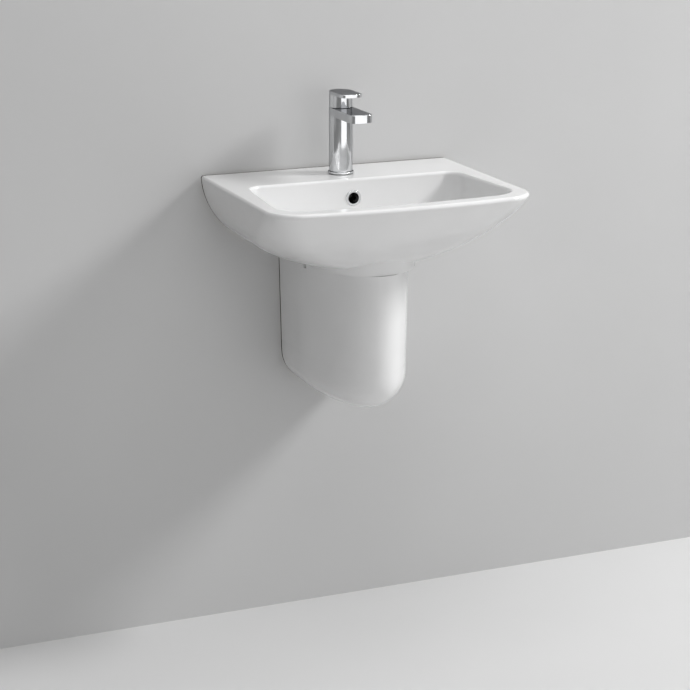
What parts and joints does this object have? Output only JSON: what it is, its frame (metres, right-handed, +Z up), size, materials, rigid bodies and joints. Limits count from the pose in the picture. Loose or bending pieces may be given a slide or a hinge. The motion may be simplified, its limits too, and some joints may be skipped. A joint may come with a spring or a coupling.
{
  "type": "pedestal sink",
  "caption": "Wall-hung washbasin with a rounded underside over a short wall-fixed pedestal cover, with a single-lever mixer tap, click waste and bottle trap.",
  "frame": {"origin": "on the wall plane, midway between the axes of the basin's two wall bolts", "axes": "+Z up, +Y into the wall, +X to the right as seen from the front"},
  "size_m": [0.4996, 0.4783, 0.574],
  "materials": {
    "basin_glaze": "white gloss glaze",
    "pedestal_glaze": "white gloss glaze",
    "tap_chrome": "polished chrome plate",
    "trim_chrome": "satin chrome plate",
    "waste_chrome": "polished chrome plate",
    "brass": "plain machined brass",
    "zinc_steel": "zinc-plated steel",
    "rubber": "matt black rubber",
    "disc_ceramic": "lapped alumina",
    "grey_plastic": "moulded acetal",
    "white_plastic": "moulded nylon",
    "trap_plastic": "moulded polypropylene"
  },
  "bodies": {
    "basin_set": {"aerator_housing": "trim_chrome", "aerator_insert": "grey_plastic", "basin": "basin_glaze", "basin_bolts": "zinc_steel", "basin_nuts": "zinc_steel", "basin_sleeves": "white_plastic", "basin_washers": "zinc_steel", "bonnet_ring": "trim_chrome", "cartridge_base": "grey_plastic", "cartridge_housing": "grey_plastic", "cartridge_seal": "rubber", "clamp_gasket": "rubber", "clamp_nut": "brass", "clamp_plate": "zinc_steel", "clamp_stud": "zinc_steel", "click_housing": "grey_plastic", "fixed_disc": "disc_ceramic", "overflow_ring": "tap_chrome", "pedestal_bolts": "zinc_steel", "pedestal_nuts": "zinc_steel", "pedestal_washers": "zinc_steel", "ring_nut": "brass", "semi_pedestal": "pedestal_glaze", "tap_base_ring": "tap_chrome", "tap_base_seal": "rubber", "tap_body": "tap_chrome", "trap_body": "trap_plastic", "trap_cup": "trap_plastic", "trap_cup_seal": "rubber", "trap_dip_tube": "trap_plastic", "trap_inlet_nut": "trap_plastic", "trap_inlet_washer": "rubber", "trap_outlet_nut": "trap_plastic", "trap_outlet_seal": "rubber", "trap_top_nut": "trap_plastic", "trap_top_seal": "rubber", "waste_back_nut": "trap_plastic", "waste_body": "waste_chrome", "waste_lower_seal": "rubber", "waste_top_seal": "rubber"},
    "rotor": {"cartridge_rotor": "grey_plastic", "pivot_pin": "zinc_steel"},
    "lever": {"lever": "tap_chrome", "lever_stem": "zinc_steel", "lever_grub_screw": "zinc_steel", "lever_hole_plug": "tap_chrome"},
    "disc": {"moving_disc": "disc_ceramic"},
    "plug": {"plug_stem": "zinc_steel", "plug_cap": "waste_chrome", "plug_seal": "rubber"}
  },
  "joints": [
    {"name": "lever_swivel", "type": "hinge", "parent": "basin_set", "child": "rotor", "pos_m": [0, -0.071, 0.203], "axis": [0, 0, 1], "range_deg": [-45, 45]},
    {"name": "lever_lift", "type": "hinge", "parent": "rotor", "child": "lever", "pos_m": [0, -0.071, 0.203], "axis": [-1, 0, 0], "range_deg": [0, 20]},
    {"name": "disc_slide", "type": "slide", "parent": "rotor", "child": "disc", "axis": [0, -1, 0], "range_m": [0, 0.0042]},
    {"name": "plug_press", "type": "slide", "parent": "basin_set", "child": "plug", "axis": [0, 0, 1], "range_m": [-0.008, 0], "stiffness_N_per_m": 800, "springref_m": 0.004}
  ],
  "couplings": [
    {"joint": "disc_slide", "follows": "lever_lift", "m_per_rad": 0.01176}
  ]
}
